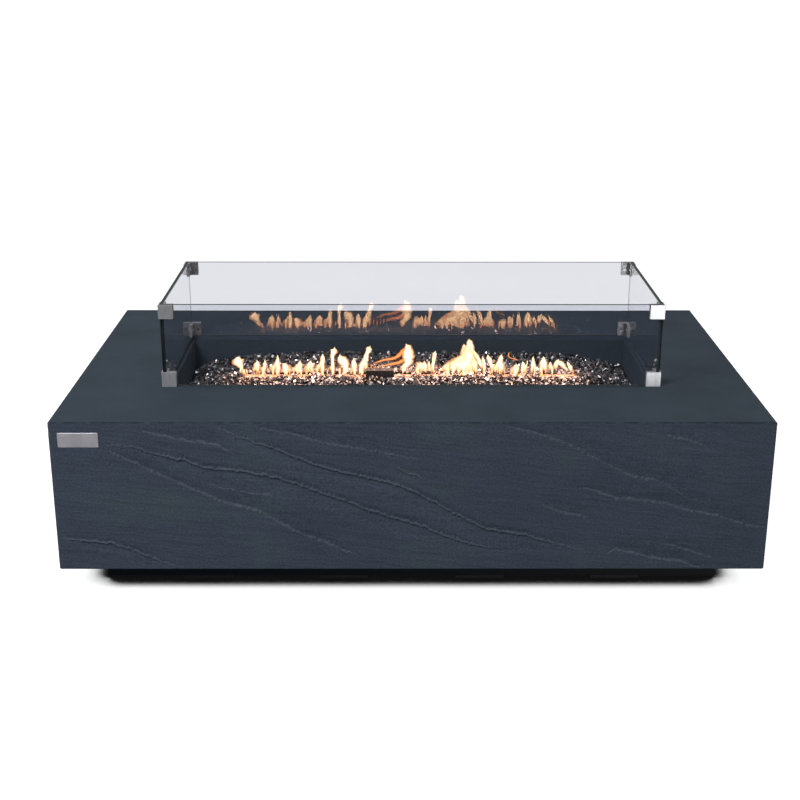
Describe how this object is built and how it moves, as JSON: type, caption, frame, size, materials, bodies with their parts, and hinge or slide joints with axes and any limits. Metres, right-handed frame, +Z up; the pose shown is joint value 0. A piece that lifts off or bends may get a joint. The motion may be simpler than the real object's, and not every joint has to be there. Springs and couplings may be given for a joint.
{
  "type": "fire pit table",
  "caption": "Rectangular concrete fire pit table with a linear gas burner, fire glass, a side control panel and a lift-off glass wind guard.",
  "frame": {"origin": "on the floor under the middle of the table", "axes": "+X along the table towards the end with the controls, -Y is the front with the name plate, +Z up"},
  "size_m": [1.54, 0.9, 0.597],
  "materials": {
    "concrete": "dark slate-grey fibre concrete, smooth mottled top, split-slate sides, matt",
    "plinth_black": "black powder coat, matt",
    "zinc_steel": "bright zinc plating",
    "pad_rubber": "dark grey rubber, matt",
    "plate_steel": "brushed along its length, bare",
    "pan_enamel": "dark heat-resistant coating, satin, dusty",
    "fire_glass": "black reflective broken glass",
    "burner_steel": "stainless, heat tinted",
    "mixer_alloy": "cast, satin",
    "brass": "turned brass",
    "hose_steel": "corrugated stainless",
    "pilot_steel": "black, heat worn",
    "electrode_ceramic": "white glazed ceramic",
    "lead_insulation": "red silicone insulation",
    "copper_lead": "bare copper",
    "clip_plastic": "black nylon",
    "panel_steel": "brushed stainless",
    "valve_alloy": "die cast, satin",
    "spring_steel": "drawn wire",
    "stem_steel": "turned steel",
    "knob_plastic": "black, fine grained",
    "igniter_plastic": "black, satin",
    "battery_wrap": "plain grey wrap",
    "button_plastic": "black, glossy",
    "clear_glass": "clear tempered float glass with green edges",
    "liner_rubber": "translucent grey silicone",
    "screw_chrome": "polished",
    "clip_steel": "brushed stainless"
  },
  "bodies": {
    "table": {"shell": "concrete", "plinth": "plinth_black", "plinth_bolts": "zinc_steel", "plinth_pads": "pad_rubber", "name_plate": "plate_steel", "burner_pan": "pan_enamel", "fire_glass": "fire_glass", "burner_tube": "burner_steel", "burner_end_caps": "burner_steel", "burner_saddles": "burner_steel", "feed_nipple": "burner_steel", "feed_locknuts": "zinc_steel", "air_mixer": "mixer_alloy", "gas_orifice": "brass", "burner_hose": "hose_steel", "hose_nuts": "brass", "pilot_shield": "pilot_steel", "spark_electrode": "electrode_ceramic", "flame_sensor": "burner_steel", "igniter_lead": "lead_insulation", "sensor_lead": "copper_lead", "lead_grommets": "pad_rubber", "lead_clips": "clip_plastic", "control_panel": "panel_steel", "panel_screws": "zinc_steel", "gas_valve": "valve_alloy", "valve_locknut": "zinc_steel", "knob_bezel": "panel_steel", "inlet_fitting": "brass", "stem_spring": "spring_steel", "igniter_housing": "igniter_plastic", "igniter_collar": "igniter_plastic", "igniter_battery": "battery_wrap"},
    "spindle_carrier": {"thrust_washer": "zinc_steel"},
    "spindle": {"valve_stem": "stem_steel", "control_knob": "knob_plastic"},
    "igniter_push_button": {"igniter_button": "button_plastic"},
    "wind_guard": {"pane_front": "clear_glass", "pane_back": "clear_glass", "pane_left": "clear_glass", "pane_right": "clear_glass", "clip_liners": "liner_rubber", "clip_screws": "screw_chrome", "guard_feet": "liner_rubber", "clip_outer_front_left_low": "clip_steel", "clip_outer_front_right_low": "clip_steel", "clip_outer_back_left_low": "clip_steel", "clip_outer_back_right_low": "clip_steel", "clip_outer_front_left_high": "clip_steel", "clip_outer_front_right_high": "clip_steel", "clip_outer_back_left_high": "clip_steel", "clip_outer_back_right_high": "clip_steel", "clip_inner_front_left_low": "clip_steel", "clip_inner_front_right_low": "clip_steel", "clip_inner_back_left_low": "clip_steel", "clip_inner_back_right_low": "clip_steel", "clip_inner_front_left_high": "clip_steel", "clip_inner_front_right_high": "clip_steel", "clip_inner_back_left_high": "clip_steel", "clip_inner_back_right_high": "clip_steel"}
  },
  "joints": [
    {"name": "guard_lift", "type": "slide", "parent": "table", "child": "wind_guard", "axis": [0, 0, 1], "range_m": [0, 0.25]},
    {"name": "knob_push", "type": "slide", "parent": "table", "child": "spindle_carrier", "axis": [-1, 0, 0], "range_m": [0, 0.004], "stiffness_N_per_m": 600, "springref_m": -0.006, "deforming": ["stem_spring"]},
    {"name": "knob_turn", "type": "hinge", "parent": "spindle_carrier", "child": "spindle", "pos_m": [0.752, -0.03, 0.232], "axis": [1, 0, 0], "range_deg": [-90, 90]},
    {"name": "igniter_push", "type": "slide", "parent": "table", "child": "igniter_push_button", "axis": [-1, 0, 0], "range_m": [0, 0.003], "stiffness_N_per_m": 400, "springref_m": -0.005}
  ]
}
